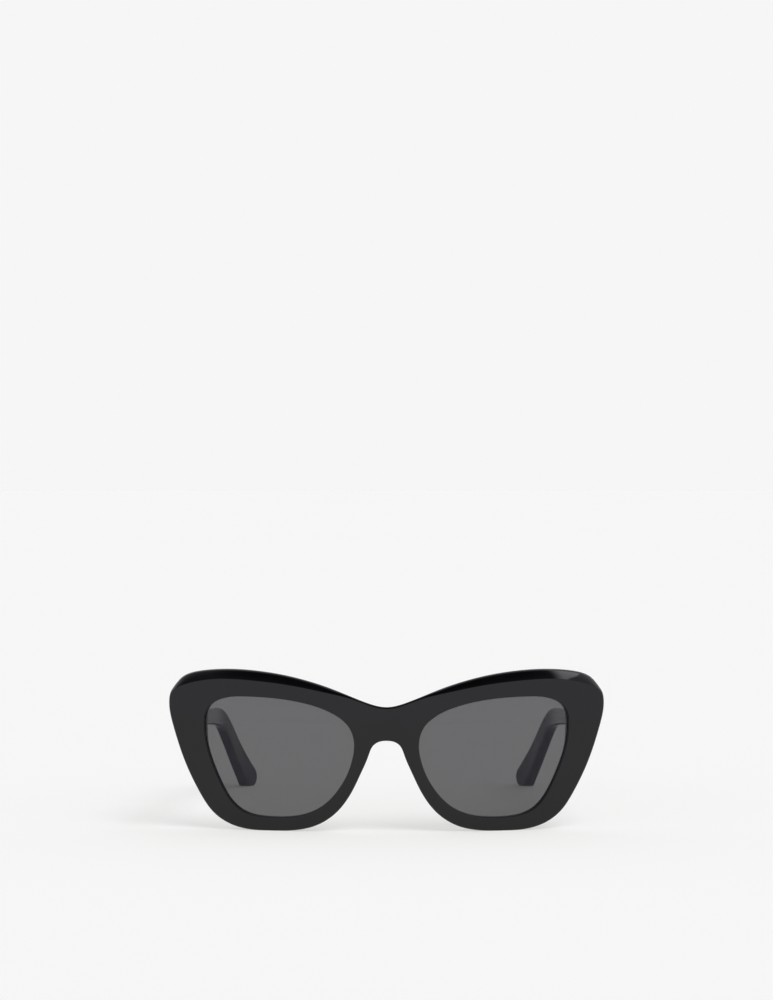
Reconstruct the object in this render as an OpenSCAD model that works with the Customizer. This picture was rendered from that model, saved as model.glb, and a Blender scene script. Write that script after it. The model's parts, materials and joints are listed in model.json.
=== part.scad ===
// Cat eye sunglasses: an acetate front with two curved lenses and two folding temples.
// +Z is up, the front faces -Y and +X is the wearer's left.
// The origin is the bottom centre of the opened sunglasses.

/* [Front] */
// Width of the front across the end pieces
front_w = 144; // [140:0.5:148]
// Height of the front, from the rims' lowest points to the tips of the wings
front_h = 52.7; // [51.5:0.1:54]
// Radius of the ball that the front's outer face lies on
base_r = 200; // [185:5:220]
// Thickness of the front
front_t = 4.2; // [4:0.1:4.5]
// Thickness of the end pieces where the hinges sit
end_t = 5.8; // [5.6:0.1:6.4]
// Slope of the bevel along the brow, in degrees
bevel_slope = 36; // [25:1:40]

/* [Lenses] */
// Thickness of the lenses
lens_t = 2; // [1.8:0.1:2.2]
// Depth of the lens's face behind the front's outer face
lens_set = 1.2; // [1:0.1:1.3]
// How far the lens reaches into the groove
lens_lip = 0.8; // [0.6:0.1:0.9]

/* [Temples] */
// How far a temple reaches back from its butt end
temple_reach = 119.8; // [112:0.2:124]
// Thickness of the temples at the hinge
temple_t = 4.6; // [4.4:0.1:4.8]
// Height of the core wire
wire_h = 1.4; // [1.2:0.1:1.6]
// Thickness of the core wire
wire_t = 1.1; // [0.9:0.1:1.2]

/* [Hinges] */
// Outer radius of the hinge barrels
barrel_r = 1.4; // [1.3:0.1:1.5]
// Length of each of the five barrels
barrel_l = 1.4; // [1.2:0.1:1.5]
// Radius of the hinge screw's shank
screw_r = 0.7; // [0.6:0.05:0.75]
// Thickness of the hinge leaves
leaf_t = 0.8; // [0.6:0.1:0.9]

/* [Hidden] */

acetate = [0.1, 0.1, 0.11];
tint = [0.25, 0.25, 0.27, 0.7];
steel = [0.78, 0.78, 0.76];
brass = [0.72, 0.58, 0.32];

ball_fn = 240;
round_fn = 48;
pad_fn = 24;
curve_steps = 3;
lens_steps = 4;
relax_passes = 14;

ray_ahead = 5;
tongue = 2.5;
fit_gap = 0.05;
groove_gap = 0.05;
groove_side = 0.1;
back_relief = 0.5;
bore_gap = 0.05;
barrel_gap = 0.1;
butt_gap = 0.15;

// The outlines are drawn for this width and height, and stretched to the chosen size.
drawn = [144, 52.7];
stretch = [front_w / drawn[0], front_h / drawn[1]];
ball_z = front_h / 2;
lens_hub = [35.5 * stretch[0], 26 * stretch[1]];

// Right half of the front's outline, from the middle of the brow round to the middle of the nose arch.
outline_half = [
    [0, 40.95], [6.6, 42.4], [14.5, 45.5], [22.5, 48.4], [32.9, 51.1], [43.5, 52.65], [54, 53.05],
    [64.4, 51.9], [69.5, 49.1], [71.7, 44.8], [72, 40], [71, 35], [68.6, 27.2], [65.5, 19.3], [61.6, 11.7],
    [57.6, 5.9], [52.4, 2.1], [45.7, 0.15], [36.5, -0.3], [27.3, 0.55], [21, 2.8], [15.8, 6.8],
    [11.6, 12.6], [8.7, 18.5], [6.3, 23.9], [4.8, 27.7], [2.6, 29.5], [0, 29.9]
];
// Opening of the left rim.
opening = [
    [53.6, 43.3], [58.6, 40.4], [60.05, 35.2], [59.4, 28.2], [57.2, 21.1], [54.2, 14.3], [50.6, 8.8],
    [45.6, 5.5], [38.8, 4.45], [30.8, 4.75], [23.4, 6.95], [17.75, 11.4], [13.65, 17.3], [11.35, 23.2],
    [10.6, 29.1], [12.5, 34.6], [17.7, 38.75], [25.6, 41.65], [36.2, 43.45], [46.8, 43.95]
];
// Crease where the brow bevel meets the flat of the front; both ends run off the outline.
crease = [
    [9.5, 43.4], [13.8, 44.25], [21.3, 45.8], [29, 47.35], [39.2, 48.75], [52.9, 49.6],
    [61.6, 48.75], [66.2, 47.5], [69.8, 45.9], [73.2, 43.7]
];

// Places that follow from the driving sizes.
pad_y = ball_depth(front_w / 2 - 6, 0) + end_t;
butt_y = pad_y + butt_gap;
overall_depth = butt_y + temple_reach;
hinge_x = front_w / 2 - 9.4;
hinge_y = pad_y + barrel_r + 0.3;
hinge_z = 0.693 * front_h;
barrel_pitch = barrel_l + barrel_gap;
barrels_low = hinge_z - 2 * barrel_pitch - barrel_l / 2;
barrels_top = hinge_z + 2 * barrel_pitch + barrel_l / 2;

// Flat pad on the back of each end piece, and the ramps that lead from it down to the rim.
pad_inset = 1.6;
pad_below = 5.5;
pad_above = 7;
ramp_depth = 5;
ramp_in = 3;
ramp_down = 5;
ramp_up = 8;

// Hinge leaves and their pins.
front_leaf = [5.6, leaf_t, 8];
front_leaf_x = hinge_x - 1.2;
temple_leaf = [leaf_t, 8.6, 5.6];
// The temple's leaf sits lower than the barrels' middle, to stay inside the sloping top edge.
temple_leaf_z = hinge_z - 0.5;
temple_inner_x = front_w / 2 - 7.5;
pin_r = 0.5;
pin_l = 2.6;
pin_rise = 2.2;
temple_pin_rise = 1.7;
front_pin_x = front_leaf_x + front_leaf[0] - 1.5;
temple_pins_back = [4.4, 7.6];
web_w = 1.8;
head_r = 1.25;
head_h = 0.7;
slot_w = 0.3;
slot_d = 0.35;
screw_tail = 0.2;

// Temple seen from the side, as distance back from the butt end and height: over the top, round the
// tip and back along the underside.
drawn_reach = 119.8;
back_stretch = temple_reach / drawn_reach;
temple_side = [
    [0, 41.2], [12.5, 38.9], [27.5, 36.7], [42.5, 35], [62.5, 33.5], [79.5, 32.2], [88.5, 30.5],
    [95.5, 26.3], [103.5, 19.6], [111.5, 12.6], [117.3, 7.4], [119.4, 5.1], [119.7, 2.5], [118.2, 0.4],
    [115.8, 0], [113.4, 0.4], [111.6, 2], [107.5, 6], [100.5, 12.7], [92.7, 20.1], [88.2, 23.7],
    [83.5, 25.4], [76, 26.3], [62.5, 27.7], [42.5, 29.4], [27.5, 30.4], [12.5, 31.2], [0, 31.6]
];
// Temple seen from above, as [distance back, inward sweep of its inner face, share of its thickness].
temple_plan = [
    [-2, 0, 1], [17.5, 0.6, 0.98], [42.5, 2.2, 0.91], [67.5, 3.9, 0.83], [84.5, 5.7, 0.76],
    [96.5, 8.6, 0.74], [108.5, 12.2, 0.78], [122, 17.6, 0.91]
];
// Balls that a nose pad is stretched over, as middle and radius: two in the rim, two at its crest.
pad_balls = [
    [[8.4, 5.4, 23.8], 1.4], [[12.5, 5.6, 14.8], 1.4], [[9.5, 8.8, 22.6], 1.1], [[12.9, 8.8, 16.2], 1.1]
];
// Middle line of the core wire seen from the side.
wire_side = [
    [1, 36.5], [22.5, 34.1], [42.5, 32.2], [80.5, 29.1], [88.5, 26.9], [96.5, 20.9], [104.5, 14], [111, 8.4]
];

// Depth of the ball's face behind its front-most point, at x across and dz above its middle.
function ball_depth(x, dz) = base_r - sqrt(base_r * base_r - x * x - dz * dz);

// Item i of a list that is a closed loop, or that runs straight on past its ends.
function item(list, i, closed) =
    closed ? list[(i + len(list)) % len(list)]
    : i < 0 ? 2 * list[0] - list[1]
    : i >= len(list) ? 2 * list[len(list) - 1] - list[len(list) - 2]
    : list[i];

// Control points of the cubic B-spline through pts, by repeated relaxation.
function controls(pts, guess, closed, passes) =
    passes == 0 ? guess
    : controls(
        pts,
        [
            for (i = [0 : len(pts) - 1])
                (6 * pts[i] - item(guess, i - 1, closed) - item(guess, i + 1, closed)) / 4
        ],
        closed,
        passes - 1
    );

// Point and heading of the B-spline with controls c, at t along stretch i.
function spline_point(c, i, t, closed) = (
    pow(1 - t, 3) * item(c, i - 1, closed)
    + (3 * pow(t, 3) - 6 * t * t + 4) * item(c, i, closed)
    + (-3 * pow(t, 3) + 3 * t * t + 3 * t + 1) * item(c, i + 1, closed)
    + pow(t, 3) * item(c, i + 2, closed)
) / 6;
function spline_heading(c, i, t, closed) = (
    -pow(1 - t, 2) * item(c, i - 1, closed)
    + (3 * t * t - 4 * t) * item(c, i, closed)
    + (-3 * t * t + 2 * t + 1) * item(c, i + 1, closed)
    + t * t * item(c, i + 2, closed)
) / 2;

// Smooth curve through pts, moved sideways by shift; a positive shift is to the right of the heading.
function smooth(pts, steps, closed = true, shift = 0) =
    let (
        c = controls(pts, pts, closed, relax_passes),
        stretches = closed ? len(pts) : len(pts) - 1,
        last = closed ? [] : [[stretches - 1, 1]],
        places = concat([for (i = [0 : stretches - 1]) for (k = [0 : steps - 1]) [i, k / steps]], last)
    )
    [
        for (place = places)
            let (
                point = spline_point(c, place[0], place[1], closed),
                heading = spline_heading(c, place[0], place[1], closed)
            )
            point + shift * [heading[1], -heading[0]] / norm(heading)
    ];

function reversed(list) = [for (i = [len(list) - 1 : -1 : 0]) list[i]];
function stretched(pts) = [for (p = pts) [p[0] * stretch[0], p[1] * stretch[1]]];

// Outline of the front's left half, with a tongue that reaches into the other half at the bridge.
function front_outline() =
    let (
        half = stretched(outline_half),
        other = [for (p = half) if (p[0] > 0) [-p[0], p[1]]],
        whole = smooth(concat(half, reversed(other)), curve_steps),
        last = (len(half) - 1) * curve_steps
    )
    concat(
        [for (i = [0 : last]) whole[i]],
        [[-tongue, whole[last][1] + tongue], [-tongue, whole[0][1] - tongue]]
    );
// Outline of the left lens opening, made larger by grow.
function lens_outline(grow) = smooth(stretched(opening), lens_steps, shift = -grow);

// Moves a piece from the datum at the front-most point to the origin.
module placed() {
    translate([0, -overall_depth / 2, 0]) children();
}

// The left piece as drawn, or its mirror image on the right.
module on_side(side) {
    placed() {
        if (side == "left") {
            children();
        } else {
            mirror([1, 0, 0]) children();
        }
    }
}

// Point at depth y on the line from the ball's middle through the ball's face at x and z of p.
function on_ray(p, y) =
    let (share = (base_r - y) / (base_r - ball_depth(p[0], p[1] - ball_z)))
    [p[0] * share, y, ball_z + (p[1] - ball_z) * share];

// Block whose sides stand square to the ball's face all along an outline drawn in X and Z. All of the
// outline is in straight sight of the hub.
module ray_block(outline, hub) {
    count = len(outline);
    drawn_points = concat(outline, [hub]);
    points = concat(
        [for (p = drawn_points) on_ray(p, -ray_ahead)],
        [for (p = drawn_points) on_ray(p, pad_y + ray_ahead)]
    );
    back = count + 1;
    faces = [
        for (i = [0 : count - 1])
            let (j = (i + 1) % count)
            each [[i, back + i, back + j], [i, back + j, j], [i, j, count], [back + j, back + i, back + count]]
    ];
    polyhedron(points, faces);
}

// Prism of an outline drawn in Y and Z, running from x0 to x1.
module prism_x(outline, x0, x1) {
    translate([x0, 0, 0])
        rotate([90, 0, 90])
            linear_extrude(x1 - x0)
                polygon(outline);
}

// Prism of an outline drawn in X and Y, running up from z0 to z1.
module prism_z(outline, z0, z1) {
    translate([0, 0, z0])
        linear_extrude(z1 - z0)
            polygon(outline);
}

// Ball that the front's outer face lies on, made smaller by depth.
module ball(depth) {
    translate([0, base_r, ball_z])
        sphere(r = base_r - depth, $fn = ball_fn);
}

module shell(outer_depth, inner_depth) {
    difference() {
        ball(outer_depth);
        ball(inner_depth);
    }
}

// Thick end piece on the left, with a flat back for the hinge and ramps down to the rim.
module end_block() {
    pad_x = hinge_x - pad_inset;
    pad_low = hinge_z - pad_below;
    pad_high = hinge_z + pad_above;
    side_x = front_w / 2 + 1;
    ramp_y = pad_y - ramp_depth;
    plan = [[pad_x - ramp_in, 0], [side_x, 0], [side_x, pad_y], [pad_x, pad_y], [pad_x - ramp_in, ramp_y]];
    side = [
        [0, pad_low - 2 * ramp_down], [ramp_y, pad_low - ramp_down], [pad_y, pad_low], [pad_y, pad_high],
        [ramp_y, pad_high + ramp_up], [0, front_h + 2]
    ];
    intersection() {
        prism_z(plan, 0, front_h + 2);
        prism_x(side, 0, side_x);
        ball(0);
    }
}

// Wedge that cuts the left half of the brow bevel: crease, lower edge, outer edge and face in front.
module bevel_cutter() {
    reach = 6;
    ahead = 4;
    bite = 0.08;
    line = smooth(stretched(crease), curve_steps, closed = false);
    outer = smooth(stretched(crease), curve_steps, closed = false, shift = -reach);
    function depth(p) = ball_depth(p[0], p[1] - ball_z) + bite;
    drop = reach * tan(bevel_slope);
    count = len(line);
    points = [
        for (i = [0 : count - 1])
            each [
                [line[i][0], depth(line[i]), line[i][1]],
                [outer[i][0], depth(line[i]) + drop, outer[i][1]],
                [outer[i][0], -ahead, outer[i][1]],
                [line[i][0], -ahead, line[i][1]]
            ]
    ];
    sides = [
        for (i = [0 : count - 2])
            for (k = [0 : 3])
                each [
                    [4 * i + k, 4 * i + 4 + k, 4 * i + (k + 1) % 4],
                    [4 * i + 4 + k, 4 * i + 4 + (k + 1) % 4, 4 * i + (k + 1) % 4]
                ]
    ];
    last = 4 * (count - 1);
    polyhedron(points, concat(sides, [[0, 1, 2], [0, 2, 3], [last, last + 2, last + 1], [last, last + 3, last + 2]]));
}

// Everything that is cut from the left half of the front.
module left_cuts() {
    ray_block(lens_outline(0), lens_hub);
    intersection() {
        ball(lens_set + lens_t / 2);
        ray_block(lens_outline(back_relief), lens_hub);
    }
    intersection() {
        shell(lens_set - groove_gap, lens_set + lens_t + groove_gap);
        ray_block(lens_outline(lens_lip + groove_side), lens_hub);
    }
    bevel_cutter();
    front_leaf_block(fit_gap, 2);
    front_pin_holes(pin_r);
}

module frame_front() {
    outline = front_outline();
    placed()
        color(acetate)
            difference() {
                intersection() {
                    union() {
                        shell(0, front_t);
                        end_block();
                        mirror([1, 0, 0]) end_block();
                    }
                    union() {
                        ray_block(outline, lens_hub);
                        mirror([1, 0, 0]) ray_block(outline, lens_hub);
                    }
                    translate([-front_w, -1, 0]) cube([2 * front_w, pad_y + 1, 2 * front_h]);
                }
                left_cuts();
                mirror([1, 0, 0]) left_cuts();
            }
}

module lens(side) {
    on_side(side)
        color(tint)
            intersection() {
                shell(lens_set, lens_set + lens_t);
                ray_block(lens_outline(lens_lip), lens_hub);
            }
}

// Bonded nose pad: a soft ridge whose base follows the back of the rim.
module nose_pad(side) {
    on_side(side)
        color(acetate)
            difference() {
                hull() {
                    for (b = pad_balls) {
                        translate([b[0][0] * stretch[0], b[0][1], b[0][2] * stretch[1]])
                            sphere(r = b[1], $fn = pad_fn);
                    }
                }
                shell(-ray_ahead, front_t);
            }
}

// Leaf let into the end piece; grow widens the pocket and behind opens it to the back.
module front_leaf_block(grow, behind) {
    translate([front_leaf_x - grow, pad_y - leaf_t, hinge_z - front_leaf[2] / 2 - grow])
        cube([front_leaf[0] + 2 * grow, leaf_t + behind, front_leaf[2] + 2 * grow]);
}

module front_pin_holes(r) {
    for (rise = [-pin_rise, pin_rise]) {
        translate([front_pin_x, pad_y, hinge_z + rise])
            rotate([90, 0, 0]) cylinder(r = r, h = leaf_t + pin_l, $fn = round_fn);
    }
}

// Barrels numbered from the bottom; those of the front are 0, 2 and 4, the temple has 1 and 3.
module barrels(numbers) {
    for (n = numbers) {
        translate([hinge_x, hinge_y, barrels_low + n * barrel_pitch])
            cylinder(r = barrel_r, h = barrel_l, $fn = round_fn);
    }
}

module barrel_bore() {
    translate([hinge_x, hinge_y, barrels_low - 1])
        cylinder(r = screw_r + bore_gap, h = barrels_top - barrels_low + 2, $fn = round_fn);
}

module front_hinge(side) {
    numbers = [0, 2, 4];
    on_side(side)
        color(steel)
            difference() {
                union() {
                    front_leaf_block(0, 0);
                    barrels(numbers);
                    for (n = numbers) {
                        translate([hinge_x - web_w / 2, pad_y - leaf_t / 2, barrels_low + n * barrel_pitch])
                            cube([web_w, hinge_y - pad_y + leaf_t / 2, barrel_l]);
                    }
                }
                barrel_bore();
                front_pin_holes(pin_r);
            }
}

module front_hinge_pins(side) {
    on_side(side)
        color(brass)
            front_pin_holes(pin_r - fit_gap / 2);
}

module hinge_screw(side) {
    on_side(side)
        color(brass)
            difference() {
                union() {
                    translate([hinge_x, hinge_y, barrels_low - screw_tail])
                        cylinder(r = screw_r, h = barrels_top - barrels_low + screw_tail + head_h / 2, $fn = round_fn);
                    translate([hinge_x, hinge_y, barrels_top])
                        cylinder(r = head_r, h = head_h, $fn = round_fn);
                }
                translate([hinge_x - 2 * head_r, hinge_y - slot_w / 2, barrels_top + head_h - slot_d])
                    cube([4 * head_r, slot_w, 2 * slot_d]);
            }
}

// Inner face and outer face of the temple seen from above, and a strip of thickness t down its middle.
function plan_inner() = [for (p = temple_plan) [temple_inner_x - p[1], butt_y + p[0] * back_stretch]];
function plan_outer() = [
    for (p = temple_plan) [temple_inner_x - p[1] + temple_t * p[2], butt_y + p[0] * back_stretch]
];
function plan_middle() = (plan_inner() + plan_outer()) / 2;
function strip(pts, t) = concat(
    smooth(pts, curve_steps, closed = false, shift = t / 2),
    reversed(smooth(pts, curve_steps, closed = false, shift = -t / 2))
);
function from_butt(pts) = [for (p = pts) [butt_y + p[0] * back_stretch, p[1] * stretch[1]]];

// Wire, or the channel it lies in when grow is more than zero.
module wire(grow) {
    intersection() {
        prism_x(strip(from_butt(wire_side), wire_h + 2 * grow), 0, front_w / 2);
        prism_z(strip(plan_middle(), wire_t + 2 * grow), 0, front_h);
    }
}

// Leaf let into the temple's inner face.
module temple_leaf_block(grow, inward) {
    translate([temple_inner_x - inward, butt_y + 0.2 - grow, temple_leaf_z - temple_leaf[2] / 2 - grow])
        cube([leaf_t + inward, temple_leaf[1] + 2 * grow, temple_leaf[2] + 2 * grow]);
}

module temple_pin_holes(r) {
    for (k = [0, 1]) {
        translate([temple_inner_x, butt_y + temple_pins_back[k], temple_leaf_z + (2 * k - 1) * temple_pin_rise])
            rotate([0, 90, 0]) cylinder(r = r, h = leaf_t + pin_l, $fn = round_fn);
    }
}

module temple(side) {
    outer = smooth(plan_outer(), curve_steps, closed = false);
    inner = smooth(plan_inner(), curve_steps, closed = false);
    on_side(side)
        color(acetate)
            difference() {
                intersection() {
                    prism_x(smooth(from_butt(temple_side), curve_steps, closed = false), 0, front_w);
                    prism_z(concat(inner, reversed(outer)), 0, front_h);
                }
                wire(fit_gap);
                temple_leaf_block(fit_gap, 1);
                temple_pin_holes(pin_r);
            }
}

module core_wire(side) {
    on_side(side)
        color(steel)
            wire(0);
}

module temple_hinge(side) {
    numbers = [1, 3];
    on_side(side)
        color(steel)
            difference() {
                union() {
                    temple_leaf_block(0, 0);
                    barrels(numbers);
                    for (n = numbers) {
                        translate([hinge_x, hinge_y - web_w / 2, barrels_low + n * barrel_pitch])
                            cube([temple_inner_x - hinge_x + leaf_t / 2, web_w, barrel_l]);
                    }
                }
                barrel_bore();
                temple_pin_holes(pin_r);
            }
}

module temple_hinge_pins(side) {
    on_side(side)
        color(brass)
            temple_pin_holes(pin_r - fit_gap / 2);
}

frame_front();
lens("left");  // lens_left
lens("right");  // lens_right
nose_pad("left");  // nose_pad_left
nose_pad("right");  // nose_pad_right
front_hinge("left");  // front_hinge_left
front_hinge("right");  // front_hinge_right
front_hinge_pins("left");  // front_hinge_pins_left
front_hinge_pins("right");  // front_hinge_pins_right
hinge_screw("left");  // hinge_screw_left
hinge_screw("right");  // hinge_screw_right
temple("left");  // temple_left
temple("right");  // temple_right
core_wire("left");  // core_wire_left
core_wire("right");  // core_wire_right
temple_hinge("left");  // temple_hinge_left
temple_hinge("right");  // temple_hinge_right
temple_hinge_pins("left");  // temple_hinge_pins_left
temple_hinge_pins("right");  // temple_hinge_pins_right
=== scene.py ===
"""Cat eye sunglasses: the looks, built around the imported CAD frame.

Shapes are worked out in millimetres in the front's own datum (X to the wearer's left, Y back from the
front's foremost point, Z up from the surface it stands on) and moved to the frame's origin, in metres.
"""
import json
import math

import bmesh
import bpy
import numpy as np
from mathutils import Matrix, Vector


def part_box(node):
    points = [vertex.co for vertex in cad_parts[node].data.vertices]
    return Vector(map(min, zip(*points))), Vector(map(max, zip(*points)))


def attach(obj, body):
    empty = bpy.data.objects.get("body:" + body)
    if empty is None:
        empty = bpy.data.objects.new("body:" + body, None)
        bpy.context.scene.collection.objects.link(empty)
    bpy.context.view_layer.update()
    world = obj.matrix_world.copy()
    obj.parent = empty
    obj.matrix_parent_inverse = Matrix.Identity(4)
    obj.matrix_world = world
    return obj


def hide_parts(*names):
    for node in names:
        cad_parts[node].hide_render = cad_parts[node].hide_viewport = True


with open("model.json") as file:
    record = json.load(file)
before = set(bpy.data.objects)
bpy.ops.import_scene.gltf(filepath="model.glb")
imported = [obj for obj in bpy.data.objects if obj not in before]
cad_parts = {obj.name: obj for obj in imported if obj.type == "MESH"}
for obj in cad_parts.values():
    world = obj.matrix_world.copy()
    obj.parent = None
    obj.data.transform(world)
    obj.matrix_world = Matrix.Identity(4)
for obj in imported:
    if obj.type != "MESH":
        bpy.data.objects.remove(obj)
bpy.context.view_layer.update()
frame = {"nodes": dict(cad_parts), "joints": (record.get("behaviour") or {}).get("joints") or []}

# ------------------------------------------------------------------ driving sizes, in millimetres
MM = 0.001
FRONT_W = 144.0
FRONT_H = 52.7
BASE_R = 200.0
FRONT_T = 4.2
END_T = 5.8
BEVEL_SLOPE = math.radians(36)
LENS_T = 2.0
LENS_SET = 1.2
LENS_LIP = 0.8
TEMPLE_T = 4.6
BUTT_GAP = 0.15
HUB = np.array([35.5, 26.0])
BALL_Z = FRONT_H / 2


def ball_depth(x, dz):
    """How far the front's outer face lies behind its foremost point."""
    return BASE_R - math.sqrt(BASE_R ** 2 - x ** 2 - dz ** 2)


# The pads' plane is END_T behind the outer face at this distance in from the wing's side.
PAD_FROM_SIDE = 6
PAD_Y = ball_depth(FRONT_W / 2 - PAD_FROM_SIDE, 0) + END_T
BUTT_Y = PAD_Y + BUTT_GAP
FRONT_BACK_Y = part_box("frame_front")[1].y
DATUM = Vector((0.0, FRONT_BACK_Y - PAD_Y * MM, 0.0))
HINGE = {j["child"]: Vector(j["pos_m"]) for j in frame["joints"]}
HINGE_LEFT = (HINGE["temple_left_body"] - DATUM) / MM

# Outlines as in the CAD source: the front's left half, one lens opening and the brow bevel's crease.
OUTLINE_HALF = [
    (0, 40.95), (6.6, 42.4), (14.5, 45.5), (22.5, 48.4), (32.9, 51.1), (43.5, 52.65), (54, 53.05),
    (64.4, 51.9), (69.5, 49.1), (71.7, 44.8), (72, 40), (71, 35), (68.6, 27.2), (65.5, 19.3), (61.6, 11.7),
    (57.6, 5.9), (52.4, 2.1), (45.7, 0.15), (36.5, -0.3), (27.3, 0.55), (21, 2.8), (15.8, 6.8),
    (11.6, 12.6), (8.7, 18.5), (6.3, 23.9), (4.8, 27.7), (2.6, 29.5), (0, 29.9),
]
OPENING = [
    (53.6, 43.3), (58.6, 40.4), (60.05, 35.2), (59.4, 28.2), (57.2, 21.1), (54.2, 14.3), (50.6, 8.8),
    (45.6, 5.5), (38.8, 4.45), (30.8, 4.75), (23.4, 6.95), (17.75, 11.4), (13.65, 17.3), (11.35, 23.2),
    (10.6, 29.1), (12.5, 34.6), (17.7, 38.75), (25.6, 41.65), (36.2, 43.45), (46.8, 43.95),
]
CREASE = [
    (9.5, 43.4), (13.8, 44.25), (21.3, 45.8), (29, 47.35), (39.2, 48.75), (52.9, 49.6), (61.6, 48.75),
    (66.2, 47.5), (69.8, 45.9), (73.2, 43.7),
]
TEMPLE_SIDE = [
    (0, 41.2), (12.5, 38.9), (27.5, 36.7), (42.5, 35), (62.5, 33.5), (79.5, 32.2), (88.5, 30.5),
    (95.5, 26.3), (103.5, 19.6), (111.5, 12.6), (117.3, 7.4), (119.4, 5.1), (119.7, 2.5), (118.2, 0.4),
    (115.8, 0), (113.4, 0.4), (111.6, 2), (107.5, 6), (100.5, 12.7), (92.7, 20.1), (88.2, 23.7),
    (83.5, 25.4), (76, 26.3), (62.5, 27.7), (42.5, 29.4), (27.5, 30.4), (12.5, 31.2), (0, 31.6),
]
# Distance back from the butt end, inward sweep of the inner face, share of the thickness.
TEMPLE_PLAN = [
    (-2, 0, 1), (17.5, 0.6, 0.98), (42.5, 2.2, 0.91), (67.5, 3.9, 0.83), (84.5, 5.7, 0.76),
    (96.5, 8.6, 0.74), (108.5, 12.2, 0.78), (122, 17.6, 0.91),
]
TEMPLE_INNER_X = FRONT_W / 2 - 7.5


# ------------------------------------------------------------------ curves
def spline_controls(points, closed, passes=24):
    """Control points of the cubic B-spline through points, by repeated relaxation."""
    pts = np.array(points, float)
    guess = pts.copy()
    for _ in range(passes):
        before, after = np.roll(guess, 1, 0), np.roll(guess, -1, 0)
        if not closed:
            before[0] = 2 * guess[0] - guess[1]
            after[-1] = 2 * guess[-1] - guess[-2]
        guess = (6 * pts - before - after) / 4
    return guess


def spline_at(points, closed, places):
    """Points of the spline at the given places, where place 2.5 is midway from point 2 to point 3."""
    ctrl = spline_controls(points, closed)
    count = len(ctrl)
    if not closed:
        ctrl = np.vstack([2 * ctrl[0] - ctrl[1], ctrl, 2 * ctrl[-1] - ctrl[-2]])
    places = np.asarray(places, float)
    start = np.floor(places).astype(int)
    if not closed:
        start = np.minimum(start, count - 2)
    t = (places - start)[:, None]
    pick = (lambda k: ctrl[(start + k) % count]) if closed else (lambda k: ctrl[start + k + 1])
    return (
        (1 - t) ** 3 * pick(-1)
        + (3 * t ** 3 - 6 * t ** 2 + 4) * pick(0)
        + (-3 * t ** 3 + 3 * t ** 2 + 3 * t + 1) * pick(1)
        + t ** 3 * pick(2)
    ) / 6


def right_of(headings):
    """Unit vectors to the right of each heading."""
    side = np.stack([headings[:, 1], -headings[:, 0]], 1)
    return side / np.linalg.norm(side, axis=1, keepdims=True)


def even_places(points, closed, low, high, count, bend_weight):
    """count places from low to high, close together along the curve and closer where it bends."""
    dense = np.linspace(low, high, 4000)
    curve = spline_at(points, closed, dense)
    step = np.diff(curve, axis=0)
    length = np.linalg.norm(step, axis=1)
    angle = np.unwrap(np.arctan2(step[:, 1], step[:, 0]))
    bend = np.abs(np.gradient(angle))
    cost = np.concatenate([[0], np.cumsum(length + bend_weight * bend)])
    return np.interp(np.linspace(0, cost[-1], count), cost, dense)


def curve_and_right(points, closed, places):
    """Points of the spline at places, and the unit vectors to the right of its heading there."""
    reach = 1e-3
    limit = len(points) - 1
    ahead, behind = places + reach, places - reach
    if not closed:
        ahead, behind = np.minimum(ahead, limit), np.maximum(behind, 0)
    headings = spline_at(points, closed, ahead) - spline_at(points, closed, behind)
    return spline_at(points, closed, places), right_of(headings)


def smooth_step(value, low, high):
    t = np.clip((value - low) / (high - low), 0, 1)
    return t * t * (3 - 2 * t)


def soft_least(one, other, blend):
    """The smaller of two values, with the change from one to the other rounded over."""
    share = np.clip(0.5 + 0.5 * (other - one) / blend, 0, 1)
    return other * (1 - share) + one * share - blend * share * (1 - share)


# ------------------------------------------------------------------ the ball that the front is bent over
def on_ball(xz, depth):
    """Points under the ball's face at (x, z), depth millimetres towards the ball's middle."""
    xz = np.asarray(xz, float)
    x, dz = xz[..., 0], xz[..., 1] - BALL_Z
    share = (BASE_R - np.asarray(depth, float)) / BASE_R
    reach = np.sqrt(BASE_R ** 2 - x ** 2 - dz ** 2)
    return np.stack([x * share, BASE_R - reach * share, BALL_Z + dz * share], -1)


# Where the ramps up to the pads start and end, measured from the hinge pin, and how softly the back
# of the front runs into the pads' plane.
PAD_RAMP_IN = (-4.6, -1.3)
PAD_RAMP_LOW = (-13.5, -4.4)
PAD_RAMP_HIGH = (5.2, 16)
PAD_BLEND = 1.2


def front_thickness(xz):
    """Thickness of the front at (x, z): even, but for the end pieces with their flat backs."""
    xz = np.asarray(xz, float)
    x, z = xz[..., 0], xz[..., 1]
    back_x = x * (BASE_R - END_T) / BASE_R
    reach = np.sqrt(BASE_R ** 2 - x ** 2 - (z - BALL_Z) ** 2)
    to_pad = BASE_R * (1 - (BASE_R - PAD_Y) / reach)
    across, rise = back_x - HINGE_LEFT.x, z - HINGE_LEFT.z
    block = (
        smooth_step(across, *PAD_RAMP_IN)
        * smooth_step(rise, *PAD_RAMP_LOW)
        * (1 - smooth_step(rise, *PAD_RAMP_HIGH))
    )
    plain = soft_least(FRONT_T, to_pad, PAD_BLEND)
    return plain + (to_pad - plain) * block


# ------------------------------------------------------------------ meshes
def to_row(points):
    return np.asarray(points, float) * MM + np.array(DATUM)


def mesh_object(name, points, faces, sharp_deg=35):
    """A shaded object from points in millimetres and faces."""
    mesh = bpy.data.meshes.new(name)
    mesh.from_pydata(to_row(points).tolist(), [], [list(map(int, f)) for f in faces])
    obj = bpy.data.objects.new(name, mesh)
    bpy.context.scene.collection.objects.link(obj)
    finish_mesh(obj, sharp_deg)
    return obj


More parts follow.
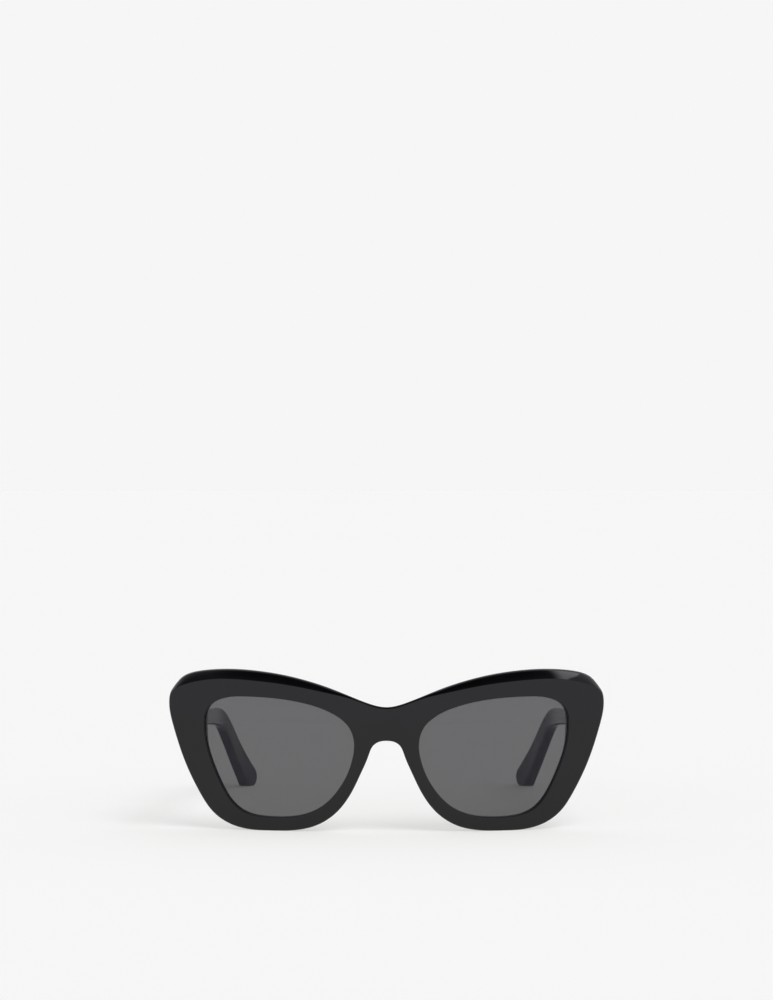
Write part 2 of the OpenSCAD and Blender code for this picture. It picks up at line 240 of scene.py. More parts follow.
def finish_mesh(obj, sharp_deg):
    """Faces outward, smooth shading, and sharp edges kept."""
    bm = bmesh.new()
    bm.from_mesh(obj.data)
    bmesh.ops.dissolve_degenerate(bm, edges=bm.edges, dist=1e-8)
    bmesh.ops.recalc_face_normals(bm, faces=bm.faces)
    bm.to_mesh(obj.data)
    bm.free()
    obj.data.polygons.foreach_set("use_smooth", [True] * len(obj.data.polygons))
    obj.data.set_sharp_from_angle(angle=math.radians(sharp_deg))
    obj.data.update()


def mirrored(points, faces):
    """The mirror image in X, with its faces turned round."""
    other = np.asarray(points, float) * np.array([-1.0, 1.0, 1.0])
    return other, [list(reversed(f)) for f in faces]


def joined_halves(points, faces):
    """A half and its mirror image, sharing the points that lie on X = 0."""
    points = np.asarray(points, float)
    count = len(points)
    twin = np.arange(count)
    free = np.abs(points[:, 0]) > 1e-6
    twin[free] = count + np.arange(free.sum())
    whole = np.vstack([points, points[free] * np.array([-1.0, 1.0, 1.0])])
    other = [[int(twin[i]) for i in reversed(f)] for f in faces]
    return whole, list(faces) + other


def grid_faces(rows, cols, first=0, wrap_rows=False, wrap_cols=False):
    """Quads of a grid of points stored row by row."""
    faces = []
    for r in range(rows if wrap_rows else rows - 1):
        for c in range(cols if wrap_cols else cols - 1):
            r2, c2 = (r + 1) % rows, (c + 1) % cols
            corners = [(r, c), (r, c2), (r2, c2), (r2, c)]
            faces.append([first + row * cols + col for row, col in corners])
    return faces


def corner(start, middle, end, count):
    """count points of a rounded corner from start towards middle and on to end."""
    start, middle, end = (np.asarray(p, float) for p in (start, middle, end))
    t = np.linspace(0, 1, count).reshape((-1,) + (1,) * start.ndim)
    return (1 - t) ** 2 * start + 2 * t * (1 - t) * middle + t ** 2 * end


# ------------------------------------------------------------------ the front
OUTLINE_STATIONS = 320
BRIDGE_STATIONS = 9
FACE_STEPS = 12
BACK_STEPS = 36
ROUND_STEPS = 6
EDGE_SET = 0.5
EDGE_ROUND = 0.38
CREASE_ROUND = 0.13
BROW_ROUND = 1.3
BEVEL_BULGE = 0.018
BEVEL_STEPS = 6
BEVEL_BLEND = 8
BEVEL_FADE = 1.2
BROW_FROM_X = 8
BROW_FROM_Z = 42
BEND_WEIGHT = 3.0
WALL_STEPS = 4
BACK_ROUND = 0.6
INNER_ROUND = 0.25
BACK_RELIEF = 0.5
SUPPORT = 0.12
GROOVE_GAP = 0.05
GROOVE_DEEP = 0.9


def whole_outline():
    half = np.array(OUTLINE_HALF, float)
    other = half[1:-1][::-1] * np.array([-1.0, 1.0])
    return np.vstack([half, other])


def bevel_widths(edge, inward):
    """How far the brow bevel reaches in from each point of the outline, where it has one."""
    line = spline_at(CREASE, False, np.linspace(0, len(CREASE) - 1, 400))
    widths = np.full(len(edge), EDGE_SET)
    for i, (point, side) in enumerate(zip(edge, inward)):
        if point[0] < BROW_FROM_X or point[1] < BROW_FROM_Z:
            continue
        along = (line - point) @ side
        across = (line - point) @ np.array([side[1], -side[0]])
        cross = np.nonzero(across[:-1] * across[1:] <= 0)[0]
        if len(cross):
            k = cross[0]
            share = across[k] / (across[k] - across[k + 1])
            widths[i] = max(EDGE_SET, along[k] + share * (along[k + 1] - along[k]))
    kernel = np.hanning(2 * BEVEL_BLEND + 1)
    padded = np.pad(widths, BEVEL_BLEND, mode="edge")
    return np.convolve(padded, kernel / kernel.sum(), mode="valid")


def strip(start, end, steps):
    """Points across the face from start to end in even steps, with one more close to each end."""
    span = np.linalg.norm(end - start, axis=-1, keepdims=True)
    near = SUPPORT / np.maximum(span, 4 * SUPPORT)
    shares = [np.zeros_like(near), near]
    shares += [near + (1 - 2 * near) * k / steps for k in range(1, steps)]
    shares += [1 - near, np.ones_like(near)]
    return np.stack([start + (end - start) * s for s in shares])


def opening_at(angles):
    """Points of the lens opening seen from the hub at the given angles, and the way out of it there."""
    places = np.linspace(0, len(OPENING), 4001)[:-1]
    points, right = curve_and_right(OPENING, True, places)
    seen = np.unwrap(np.arctan2(points[:, 1] - HUB[1], points[:, 0] - HUB[0]))
    seen, points, right = seen[::-1], points[::-1], right[::-1]
    turns = np.concatenate([seen - 2 * math.pi, seen, seen + 2 * math.pi])
    place = np.interp(angles, turns, np.arange(len(turns)))
    low = np.floor(place).astype(int)
    share = (place - low)[:, None]
    count = len(points)
    pick = lambda a: a[low % count] * (1 - share) + a[(low + 1) % count] * share
    side = -pick(right)
    return pick(points), side / np.linalg.norm(side, axis=1, keepdims=True)


def front_mesh():
    last = len(OUTLINE_HALF) - 1
    places = even_places(whole_outline(), True, 0, last, OUTLINE_STATIONS, BEND_WEIGHT)
    edge, inward = curve_and_right(whole_outline(), True, places)
    edge[[0, -1], 0] = 0
    inward[0], inward[-1] = (0, -1), (0, 1)
    width = bevel_widths(edge, inward)
    bevelled = smooth_step(width, EDGE_SET, EDGE_SET + BEVEL_FADE)
    depth = EDGE_SET + (width - EDGE_SET) * math.tan(BEVEL_SLOPE)
    slant = np.hypot(width, depth)
    crease_round = EDGE_ROUND + (CREASE_ROUND - EDGE_ROUND) * bevelled
    edge_round = EDGE_ROUND + (BROW_ROUND - EDGE_ROUND) * bevelled
    thick = front_thickness(edge + inward * BACK_ROUND)

    def outer(inset, below):
        return on_ball(edge + inward * np.asarray(inset)[..., None], below)

    # From the back anchor round the outer wall and over the bevel to the front anchor.
    toward = edge_round / slant
    away = crease_round / slant
    zero = np.zeros(OUTLINE_STATIONS)
    at = lambda u, v: np.stack([u, v], -1)
    wall_low = thick - BACK_ROUND
    back_corner = corner(at(zero + BACK_ROUND, thick), at(zero, thick), at(zero, wall_low), ROUND_STEPS)
    wall_top = depth + edge_round
    brow_corner = corner(
        at(zero, wall_top), at(zero, depth), at(width * toward, depth * (1 - toward)), ROUND_STEPS + 2
    )
    crease_corner = corner(
        at(width * (1 - away), depth * away), at(width, zero), at(width + crease_round, zero), ROUND_STEPS
    )
    wall = [at(zero, wall_low + (wall_top - wall_low) * k / WALL_STEPS) for k in range(1, WALL_STEPS)]
    start, end = brow_corner[-1], crease_corner[0]
    out = at(-depth, -width) * (BEVEL_BULGE * bevelled)[:, None]
    slope = [
        start + (end - start) * k / BEVEL_STEPS + out * 4 * k * (BEVEL_STEPS - k) / BEVEL_STEPS ** 2
        for k in range(1, BEVEL_STEPS)
    ]
    chain = np.concatenate([back_corner, np.stack(wall), brow_corner, np.stack(slope), crease_corner])
    outer_points = np.stack([outer(c[:, 0], c[:, 1]) for c in chain[1:-1]], 1)

    front_anchor = edge + inward * (width + crease_round)[:, None]
    back_anchor = edge + inward * BACK_ROUND
    shares = np.arange(1, BRIDGE_STATIONS + 1)[:, None] / (BRIDGE_STATIONS + 1)
    front_anchor = np.vstack([front_anchor, front_anchor[-1] + (front_anchor[0] - front_anchor[-1]) * shares])
    back_anchor = np.vstack([back_anchor, back_anchor[-1] + (back_anchor[0] - back_anchor[-1]) * shares])
    total = OUTLINE_STATIONS + BRIDGE_STATIONS
    angles = np.unwrap(np.arctan2(front_anchor[:, 1] - HUB[1], front_anchor[:, 0] - HUB[0]))
    rim, outward = opening_at((angles + math.pi) % (2 * math.pi) - math.pi)
    rim_thick = front_thickness(rim + outward * (BACK_RELIEF + INNER_ROUND))
    zero = np.zeros(total)

    def inner(inset, below):
        return on_ball(rim + outward * np.asarray(inset)[..., None], below)

    front_strip = strip(front_anchor, rim + outward * INNER_ROUND, FACE_STEPS)
    back_strip = strip(rim + outward * (BACK_RELIEF + INNER_ROUND), back_anchor, BACK_STEPS)
    groove_low, groove_high = LENS_SET - GROOVE_GAP, LENS_SET + LENS_T + GROOVE_GAP
    one = zero + 1
    lip = corner(at(one * INNER_ROUND, zero), at(zero, zero), at(zero, one * INNER_ROUND), ROUND_STEPS)
    groove = np.stack([
        at(zero, one * groove_low), at(one * GROOVE_DEEP, one * groove_low),
        at(one * GROOVE_DEEP, one * groove_high), at(one * BACK_RELIEF, one * groove_high),
    ])
    relief = one * BACK_RELIEF
    tail = corner(
        at(relief, rim_thick - INNER_ROUND),
        at(relief, rim_thick),
        at(relief + INNER_ROUND, rim_thick),
        ROUND_STEPS,
    )
    inner_chain = np.concatenate([lip, groove, tail])
    face = np.stack([on_ball(s, 0) for s in front_strip], 1)
    walls = np.stack([inner(c[:, 0], c[:, 1]) for c in inner_chain], 1)
    back = np.stack([on_ball(s, front_thickness(s)) for s in back_strip], 1)
    main = np.concatenate([face, walls[:, 1:-1], back], 1)
    cols = main.shape[1]
    points = list(main.reshape(-1, 3))
    faces = grid_faces(total, cols, wrap_rows=True)
    first = len(points)
    outer_cols = outer_points.shape[1]
    points += list(outer_points.reshape(-1, 3))
    for j in range(OUTLINE_STATIONS - 1):
        ring = [[r * cols + cols - 1] + [first + r * outer_cols + c for c in range(outer_cols)] + [r * cols]
                for r in (j, j + 1)]
        for c in range(outer_cols + 1):
            faces.append([ring[0][c], ring[0][c + 1], ring[1][c + 1], ring[1][c]])
    points = np.array(points)
    points[np.abs(points[:, 0]) < 1e-9, 0] = 0
    points[:, 2] = np.maximum(points[:, 2], 0)
    return joined_halves(points, faces)


def cut_box(obj, low, high):
    """Cuts a box out of obj; the corners are in millimetres in the datum."""
    low, high = to_row(low), to_row(high)
    mesh = bpy.data.meshes.new("cutter")
    bm = bmesh.new()
    bmesh.ops.create_cube(bm, size=1.0)
    for v in bm.verts:
        v.co = Vector([(low[k] + high[k]) / 2 + v.co[k] * abs(high[k] - low[k]) for k in range(3)])
    bm.to_mesh(mesh)
    bm.free()
    cutter = bpy.data.objects.new("cutter", mesh)
    bpy.context.scene.collection.objects.link(cutter)
    cut = obj.modifiers.new("cut", "BOOLEAN")
    cut.operation = "DIFFERENCE"
    cut.solver = "EXACT"
    cut.object = cutter
    bpy.context.view_layer.update()
    cut_mesh = bpy.data.meshes.new_from_object(obj.evaluated_get(bpy.context.evaluated_depsgraph_get()))
    obj.modifiers.clear()
    old = obj.data
    obj.data = cut_mesh
    obj.data.name = obj.name
    bpy.data.meshes.remove(old)
    bpy.data.objects.remove(cutter)
    bpy.data.meshes.remove(mesh)


def node_box_mm(node):
    low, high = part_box(node)
    return np.array((low - DATUM) / MM), np.array((high - DATUM) / MM)


# ------------------------------------------------------------------ the lenses
LENS_RINGS = 26
LENS_STATIONS = 200
LENS_EDGE = 0.15
LENS_BEND_WEIGHT = 2.0


def lens_mesh():
    places = even_places(OPENING, True, 0, len(OPENING), LENS_STATIONS + 1, LENS_BEND_WEIGHT)[:-1]
    opening, right = curve_and_right(OPENING, True, places)
    edge = opening - right * LENS_LIP
    inner = opening - right * (LENS_LIP - LENS_EDGE)
    shares = np.sin(np.linspace(0, 1, LENS_RINGS + 1)[1:] * math.pi / 2)
    rings = [HUB + (inner - HUB) * s for s in shares]
    points = [on_ball(HUB[None], LENS_SET)]
    points += [on_ball(r, LENS_SET) for r in rings]
    points += [on_ball(edge, LENS_SET + LENS_EDGE), on_ball(edge, LENS_SET + LENS_T - LENS_EDGE)]
    points += [on_ball(r, LENS_SET + LENS_T) for r in reversed(rings)]
    points += [on_ball(HUB[None], LENS_SET + LENS_T)]
    rows = 2 * LENS_RINGS + 2
    faces = grid_faces(rows, LENS_STATIONS, first=1, wrap_cols=True)
    end = 1 + rows * LENS_STATIONS
    for k in range(LENS_STATIONS):
        k2 = (k + 1) % LENS_STATIONS
        faces.append([0, 1 + k2, 1 + k])
        faces.append([end, end - LENS_STATIONS + k, end - LENS_STATIONS + k2])
    return np.vstack(points), faces


# ------------------------------------------------------------------ the temples
TEMPLE_STATIONS = 150
ARM_ROUND = 1.0
TIP_ROUND = 0.4
TEMPLE_STEPS = 8
TEMPLE_COLUMNS = 8
TEMPLE_BEND_WEIGHT = 6.0
# The rounding changes from ARM_ROUND to TIP_ROUND this many outline places before the tip.
TIP_CHANGE = (4.5, 1.5)


def temple_faces_x(y):
    """Inner and outer face of the left temple at depth y."""
    plan = np.array(TEMPLE_PLAN, float)
    dense = spline_at(plan, False, np.linspace(0, len(plan) - 1, 600))
    back = y - BUTT_Y
    inner = TEMPLE_INNER_X - np.interp(back, dense[:, 0], dense[:, 1])
    return inner, inner + TEMPLE_T * np.interp(back, dense[:, 0], dense[:, 2])


def temple_mesh():
    last = len(TEMPLE_SIDE) - 1
    middle = last / 2
    over = even_places(TEMPLE_SIDE, False, 0, middle, TEMPLE_STATIONS, TEMPLE_BEND_WEIGHT)
    under = last - over
    sides = []
    for places in (over, under):
        edge, right = curve_and_right(TEMPLE_SIDE, False, places)
        edge[:, 1] = np.maximum(edge[:, 1], 0)
        sides.append((edge, right))
    sides[0][1][0] = (0, -1)
    sides[1][1][0] = (0, 1)
    turn = np.linspace(0, math.pi / 2, TEMPLE_STEPS)

    tipward = smooth_step(over, middle - TIP_CHANGE[0], middle - TIP_CHANGE[1])
    leg = ARM_ROUND + (TIP_ROUND - ARM_ROUND) * tipward

    def placed(flat, face, closed_on):
        """Points at (back, height), as near the inner or outer face as closed_on says."""
        y = BUTT_Y + flat[:, 0]
        inner, outer = temple_faces_x(y)
        inset = leg * (1 - closed_on)
        x = inner + inset if face == "inner" else outer - inset
        return np.stack([x, y, np.maximum(flat[:, 1], 0)], 1)

    def rounding(edge, right, face):
        """From the wall to the face: inset along the outline's normal while closing on the face."""
        return [placed(edge + right * (leg * (1 - math.cos(a)))[:, None], face, math.sin(a)) for a in turn]

    (top, top_in), (low, low_in) = sides
    top_anchor, low_anchor = top + top_in * leg[:, None], low + low_in * leg[:, None]
    rows = []
    rows += rounding(top, top_in, "outer")
    for k in range(1, TEMPLE_COLUMNS):
        rows.append(placed(top_anchor + (low_anchor - top_anchor) * k / TEMPLE_COLUMNS, "outer", 1.0))
    rows += reversed(rounding(low, low_in, "outer"))
    rows += rounding(low, low_in, "inner")
    for k in range(1, TEMPLE_COLUMNS):
        rows.append(placed(low_anchor + (top_anchor - low_anchor) * k / TEMPLE_COLUMNS, "inner", 1.0))
    rows += reversed(rounding(top, top_in, "inner"))
    loop = np.stack(rows, 1)
    count = loop.shape[1]
    faces = grid_faces(TEMPLE_STATIONS, count, wrap_cols=True)
    faces.append(list(range(count)))
    return loop.reshape(-1, 3), faces


# ------------------------------------------------------------------ the nose pads
PAD_FROM = np.array([8.1, 24.6])
PAD_TO = np.array([13.1, 13.6])
PAD_W = 3.0
PAD_RISE = 4.9
PAD_SPLAY = 0.12
PAD_POWER = 2.5
PAD_ROUND = 48
PAD_RINGS = 20
PAD_SUNK = 0.05


def nose_pad_mesh():
    middle, half = (PAD_FROM + PAD_TO) / 2, (PAD_TO - PAD_FROM) / 2
    across = np.array([-half[1], half[0]]) / np.linalg.norm(half) * PAD_W / 2
    power = 2 / PAD_POWER
    bend = lambda v: np.sign(v) * np.abs(v) ** power
    around = np.linspace(0, 2 * math.pi, PAD_ROUND, endpoint=False)
    rings = []
    for lift in np.linspace(0, math.pi / 2, PAD_RINGS, endpoint=False):
        reach = bend(math.cos(lift))
        rise = PAD_RISE * bend(math.sin(lift))
        along = bend(np.cos(around)) * reach
        side = bend(np.sin(around)) * reach
        flat = middle + along[:, None] * half + side[:, None] * across
        flat = flat + np.array([PAD_SPLAY * rise, 0.0])
        rings.append(on_ball(flat, FRONT_T - PAD_SUNK + rise))
    top = on_ball((middle + np.array([PAD_SPLAY * PAD_RISE, 0.0]))[None], FRONT_T - PAD_SUNK + PAD_RISE)
    points = np.vstack(rings + [top])
    faces = grid_faces(PAD_RINGS, PAD_ROUND, wrap_cols=True)
    end = PAD_RINGS * PAD_ROUND
    for k in range(PAD_ROUND):
        faces.append([end - PAD_ROUND + k, end - PAD_ROUND + (k + 1) % PAD_ROUND, end])
    faces.append(list(reversed(range(PAD_ROUND))))
    return points, faces


# ------------------------------------------------------------------ materials
def new_material(name):
    mat = bpy.data.materials.new(name)
    mat.use_nodes = True
    tree = mat.node_tree
    shader = tree.nodes["Principled BSDF"]
    return mat, tree, shader


def add(tree, kind, **values):
    node = tree.nodes.new(kind)
    for key, value in values.items():
        if key in node.inputs:
            node.inputs[key].default_value = value
        else:
            setattr(node, key, value)
    return node


def noise(tree, coords, scale, detail=3.0, rough=0.5):
    node = add(tree, "ShaderNodeTexNoise", Scale=scale, Detail=detail, Roughness=rough)
    tree.links.new(coords, node.inputs["Vector"])
    return node.outputs["Fac"]


def ranged(tree, value, low, high, to_low, to_high):
    node = add(tree, "ShaderNodeMapRange")
    node.inputs["From Min"].default_value = low
    node.inputs["From Max"].default_value = high
    node.inputs["To Min"].default_value = to_low
    node.inputs["To Max"].default_value = to_high
    tree.links.new(value, node.inputs["Value"])
    return node.outputs["Result"]


def stretched_coords(tree, scale):
    coords = add(tree, "ShaderNodeTexCoord").outputs["Object"]
    mapping = add(tree, "ShaderNodeMapping")
    mapping.inputs["Scale"].default_value = scale
    tree.links.new(coords, mapping.inputs["Vector"])
    return mapping.outputs["Vector"]


def colour_ramp(tree, value, stops):
    ramp = tree.nodes.new("ShaderNodeValToRGB")
    elements = ramp.color_ramp.elements
    elements[0].position, elements[0].color = stops[0][0], (*stops[0][1], 1)
    elements[1].position, elements[1].color = stops[-1][0], (*stops[-1][1], 1)
    for place, colour in stops[1:-1]:
        elements.new(place).color = (*colour, 1)
    tree.links.new(value, ramp.inputs["Fac"])
    return ramp.outputs["Color"]


def bump(tree, shader, height, strength, distance):
    node = add(tree, "ShaderNodeBump", Strength=strength, Distance=distance)
    tree.links.new(height, node.inputs["Height"])
    tree.links.new(node.outputs["Normal"], shader.inputs["Normal"])


def acetate_material(name, dark, light, gloss, scratch):
    """Polished acetate: near black, with faint clouding, polishing haze and hairline scratches."""
    mat, tree, shader = new_material(name)
    coords = stretched_coords(tree, (1, 1, 1))
    clouds = noise(tree, coords, 90, detail=4)
    tree.links.new(colour_ramp(tree, clouds, [(0.3, dark), (0.7, light)]), shader.inputs["Base Color"])
    haze = noise(tree, coords, 260, detail=2)
    hairs = noise(tree, stretched_coords(tree, (5200, 420, 900)), 1.0, detail=2)
    lines = ranged(tree, hairs, 0.62, 0.72, 0, scratch)
    base = ranged(tree, haze, 0.3, 0.7, gloss * 0.8, gloss * 1.25)
    total = add(tree, "ShaderNodeMath", operation="ADD")
    tree.links.new(base, total.inputs[0])
    tree.links.new(lines, total.inputs[1])
    tree.links.new(total.outputs[0], shader.inputs["Roughness"])
    shader.inputs["IOR"].default_value = 1.47
    shader.inputs["Specular IOR Level"].default_value = 0.41
    waves = noise(tree, coords, 75, detail=1)
    bump(tree, shader, waves, 0.12, 0.00006)
    return mat


def lens_material():
    """Grey tinted resin, see-through, with a trace of cleaning marks."""
    mat, tree, shader = new_material("tinted_lens_looks")
    coords = stretched_coords(tree, (1, 1, 1))
    smear = noise(tree, stretched_coords(tree, (60, 60, 190)), 1.0, detail=3)
    tint = noise(tree, coords, 30, detail=2)
    tree.links.new(
        colour_ramp(tree, tint, [(0.3, (0.0052, 0.0062, 0.0118)), (0.7, (0.0062, 0.0072, 0.0132))]),
        shader.inputs["Base Color"],
    )
    tree.links.new(ranged(tree, smear, 0.35, 0.75, 0.02, 0.045), shader.inputs["Roughness"])
    shader.inputs["IOR"].default_value = 1.5
    shader.inputs["Specular IOR Level"].default_value = 0.28
    shader.inputs["Alpha"].default_value = 0.63
    mat.surface_render_method = "BLENDED"
    return mat


def metal_material(name, dark, light, rough, grain):
    """Brushed metal; grain is how many changes of tone a metre holds along X, Y and Z."""
    mat, tree, shader = new_material(name)
    lines = noise(tree, stretched_coords(tree, grain), 1.0, detail=3)
    patches = noise(tree, stretched_coords(tree, (700, 700, 700)), 1.0, detail=2)
    tree.links.new(colour_ramp(tree, patches, [(0.3, dark), (0.7, light)]), shader.inputs["Base Color"])
    tree.links.new(ranged(tree, lines, 0.3, 0.7, rough * 0.7, rough * 1.4), shader.inputs["Roughness"])
    shader.inputs["Metallic"].default_value = 1.0
    bump(tree, shader, lines, 0.12, 0.00001)
    return mat


FLOOR_GLOW = 0.495


def floor_material():
    mat, tree, shader = new_material("floor_looks")
    coords = stretched_coords(tree, (1, 1, 1))
    tone = noise(tree, coords, 3, detail=2)
    tree.links.new(
        colour_ramp(tree, tone, [(0.3, (0.498, 0.498, 0.498)), (0.7, (0.502, 0.502, 0.502))]),
        shader.inputs["Base Color"],
    )
    shader.inputs["Emission Color"].default_value = (1, 1, 0.965, 1)
    shader.inputs["Emission Strength"].default_value = FLOOR_GLOW
    shader.inputs["Roughness"].default_value = 0.9
    shader.inputs["Specular IOR Level"].default_value = 0.0
    return mat


# ------------------------------------------------------------------ building the pieces
SIDES = ("left", "right")
FRONT_SHARP = 55
ARM_SHARP = 35
# The front's hinge leaf starts this far inboard of the pin, the temple's this far back from the butt end.
LEAF_START = 1.2
LEAF_BACK = 0.2
POCKET_GAP = 0.05
JET = ((0.0018, 0.0018, 0.0021), (0.003, 0.003, 0.0034))
SOFT_JET = ((0.0035, 0.0035, 0.0039), (0.005, 0.005, 0.0054))
black = acetate_material("front_acetate_looks", *JET, gloss=0.055, scratch=0.05)
arm_black = acetate_material("temple_acetate_looks", *JET, gloss=0.07, scratch=0.07)
pad_black = acetate_material("pad_acetate_looks", *SOFT_JET, gloss=0.12, scratch=0.06)
lens_looks = lens_material()
# Each metal: its darker and lighter tone, its roughness and how fine its grain is along X, Y and Z.
METALS = {
    "hinge_looks": ((0.55, 0.54, 0.51), (0.66, 0.65, 0.62), 0.22, (900, 900, 6000)),
    "screw_looks": ((0.6, 0.59, 0.57), (0.7, 0.69, 0.67), 0.18, (5000, 1200, 5000)),
    "pin_looks": ((0.55, 0.4, 0.19), (0.68, 0.52, 0.27), 0.25, (2500, 2500, 2500)),
    "wire_looks": ((0.5, 0.49, 0.47), (0.6, 0.59, 0.57), 0.3, (3000, 300, 3000)),
}
metals = {name: metal_material(name, *look) for name, look in METALS.items()}


def dressed(obj, body, node, material):
    obj.data.materials.clear()
    obj.data.materials.append(material)
    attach(obj, body)
    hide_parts(node)
    return obj


front = mesh_object("rim_front", *front_mesh(), FRONT_SHARP)
for side in SIDES:
    low, high = node_box_mm(f"front_hinge_{side}")
    near, far = HINGE_LEFT.x - LEAF_START, max(abs(low[0]), abs(high[0]))
    across = (near, far) if side == "left" else (-far, -near)
    cut_box(
        front,
        [across[0] - POCKET_GAP, low[1], low[2] - POCKET_GAP],
        [across[1] + POCKET_GAP, PAD_Y + 1, high[2] + POCKET_GAP],
    )
finish_mesh(front, FRONT_SHARP)
dressed(front, "front", "frame_front", black)

for side in SIDES:
    flip = (lambda p, f: (p, f)) if side == "left" else mirrored
    lens = mesh_object(f"lens_glass_{side}", *flip(*lens_mesh()))
    dressed(lens, "front", f"lens_{side}", lens_looks)

    pad = mesh_object(f"nose_rest_{side}", *flip(*nose_pad_mesh()))
    dressed(pad, "front", f"nose_pad_{side}", pad_black)

    arm = mesh_object(f"arm_{side}", *flip(*temple_mesh()))
    leaf_low, leaf_high = node_box_mm(f"temple_hinge_{side}")
    deep = leaf_high[0] if side == "left" else leaf_low[0]
    inner_x = TEMPLE_INNER_X if side == "left" else -TEMPLE_INNER_X
    outside = inner_x - 1 if side == "left" else inner_x + 1
    cut_box(
        arm,
        [min(outside, deep), BUTT_Y + LEAF_BACK - POCKET_GAP, leaf_low[2] - POCKET_GAP],
        [max(outside, deep), leaf_high[1] + POCKET_GAP, leaf_high[2] + POCKET_GAP],
    )
    finish_mesh(arm, ARM_SHARP)
    dressed(arm, f"temple_{side}_body", f"temple_{side}", arm_black)

LOOKS = {
    "front_hinge": metals["hinge_looks"],
    "temple_hinge": metals["hinge_looks"],
    "hinge_screw": metals["screw_looks"],
    "front_hinge_pins": metals["pin_looks"],
    "temple_hinge_pins": metals["pin_looks"],
    "core_wire": metals["wire_looks"],
}
for node, obj in frame["nodes"].items():
    base = node.rsplit("_", 1)[0]
    if base in LOOKS:
        obj.data.materials.clear()
        obj.data.materials.append(LOOKS[base])

# ------------------------------------------------------------------ the studio
scene = bpy.context.scene
scene.view_settings.view_transform = "Standard"

FLOOR_HALF = 6.0
floor_mesh = bpy.data.meshes.new("floor")
corner_signs = [(-1, -1), (1, -1), (1, 1), (-1, 1)]
floor_mesh.from_pydata([(x * FLOOR_HALF, y * FLOOR_HALF, 0) for x, y in corner_signs], [], [(0, 1, 2, 3)])
floor = bpy.data.objects.new("floor", floor_mesh)
scene.collection.objects.link(floor)
floor.data.materials.append(floor_material())

# How pale the background looks to the camera; the room that lights the pieces comes further on.
PALE = 0.921
world = bpy.data.worlds.new("studio")
scene.world = world
world.use_nodes = True
sky = world.node_tree
sky.nodes.clear()
out = sky.nodes.new("ShaderNodeOutputWorld")
direction = sky.nodes.new("ShaderNodeTexCoord").outputs["Generated"]
split = sky.nodes.new("ShaderNodeSeparateXYZ")
sky.links.new(direction, split.inputs[0])


def maths(operation, *values, clamp=False):
    node = sky.nodes.new("ShaderNodeMath")
    node.operation = operation
    node.use_clamp = clamp
    for k, value in enumerate(values):
        if isinstance(value, (int, float)):
            node.inputs[k].default_value = value
        else:
            sky.links.new(value, node.inputs[k])
    return node.outputs[0]


def eased(value, low, high, to_low, to_high):
    node = sky.nodes.new("ShaderNodeMapRange")
    node.interpolation_type = "SMOOTHSTEP"
    for key, number in (("From Min", low), ("From Max", high), ("To Min", to_low), ("To Max", to_high)):
        node.inputs[key].default_value = number
    sky.links.new(value, node.inputs["Value"])
    return node.outputs["Result"]


# The lit room: pale walls up to WALL_TOP, a dark ceiling that is paler behind the sunglasses, and a
# strip light to the wearer's left. Heights and depths are parts of the direction's length, and
# leans are degrees from upright. Each pair is where a change starts and where it ends.
WALL = 0.97
WALL_TOP = (0.42, 0.72)
CEILING_TOP = (0.88, 0.995)
CEILING_LIGHT = (0.13, 0.01)
BEHIND = (0.1, 0.6)
BEHIND_LIGHT = 0.4
STRIP_LIGHT = 2.3
STRIP_SKEW = 22.0
STRIP_IN = (21.0, 28.5)
STRIP_OUT = (30.2, 32.4)
STRIP_FORE = (-0.45, -0.3)
STRIP_AFT = (0.3, 0.5)
BEYOND = (29.2, 32.9)
BEYOND_LIGHT = 0.38
ROOM_TINT = (0.985, 0.985, 1.04, 1)
across, back, up = split.outputs["X"], split.outputs["Y"], split.outputs["Z"]
overhead = eased(up, *WALL_TOP, 0.0, 1.0)
ceiling = maths("ADD", eased(up, *CEILING_TOP, *CEILING_LIGHT), eased(back, *BEHIND, 0.0, BEHIND_LIGHT))
above = maths("MULTIPLY_ADD", overhead, maths("SUBTRACT", ceiling, WALL), WALL)
lean = maths("MULTIPLY", maths("ARCTAN2", across, up), 180 / math.pi)
strip_across = maths(
    "MULTIPLY",
    eased(maths("MULTIPLY_ADD", back, STRIP_SKEW, lean), *STRIP_IN, 0.0, 1.0),
    eased(lean, *STRIP_OUT, 1.0, 0.0),
)
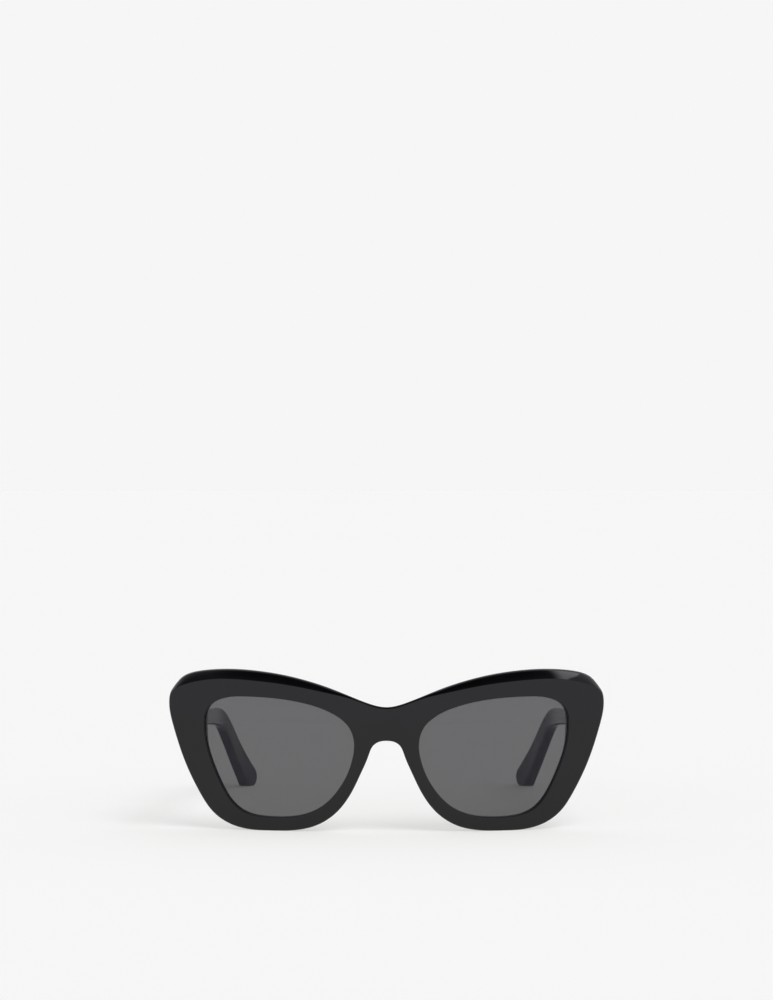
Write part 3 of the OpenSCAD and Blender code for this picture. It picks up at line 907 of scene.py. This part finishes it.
strip_along = maths("MULTIPLY", eased(back, *STRIP_FORE, 0.0, 1.0), eased(back, *STRIP_AFT, 1.0, 0.0))
soft_box = maths("MULTIPLY", strip_across, strip_along)
beyond = maths("MULTIPLY", eased(lean, *BEYOND, 0.0, BEYOND_LIGHT), overhead)
light = maths("ADD", maths("MULTIPLY_ADD", soft_box, STRIP_LIGHT, above), beyond)
lit = sky.nodes.new("ShaderNodeBackground")
lit.inputs["Color"].default_value = ROOM_TINT
sky.links.new(light, lit.inputs["Strength"])
seen = sky.nodes.new("ShaderNodeBackground")
seen.inputs["Color"].default_value = (PALE, PALE, PALE, 1)
rays = sky.nodes.new("ShaderNodeLightPath")
mix = sky.nodes.new("ShaderNodeMixShader")
sky.links.new(rays.outputs["Is Camera Ray"], mix.inputs[0])
sky.links.new(lit.outputs[0], mix.inputs[1])
sky.links.new(seen.outputs[0], mix.inputs[2])
sky.links.new(mix.outputs[0], out.inputs["Surface"])


def sun(name, toward, strength, angle_deg):
    data = bpy.data.lights.new(name, "SUN")
    data.energy = strength
    data.angle = math.radians(angle_deg)
    lamp = bpy.data.objects.new(name, data)
    lamp.rotation_euler = Vector(toward).to_track_quat("Z", "Y").to_euler()
    lamp.visible_glossy = False
    scene.collection.objects.link(lamp)
    return lamp


KEY_FROM = (0.4, -0.55, 1.0)
KEY_STRENGTH = 1.2
KEY_ANGLE = 38
sun("key", KEY_FROM, KEY_STRENGTH, KEY_ANGLE)

CAMERA_BACK = 1000.0
CAMERA_HIGH = 130.0
CAMERA_PITCH = math.radians(1.233)
LENS_MM = 110.74
camera_data = bpy.data.cameras.new("camera")
camera_data.lens = LENS_MM
camera_data.sensor_width = 36.0
camera_data.clip_end = 100.0
camera = bpy.data.objects.new("camera", camera_data)
camera.location = (0.0, DATUM.y - CAMERA_BACK * MM, CAMERA_HIGH * MM)
camera.rotation_euler = (math.pi / 2 - CAMERA_PITCH, 0.0, 0.0)
scene.collection.objects.link(camera)
scene.camera = camera
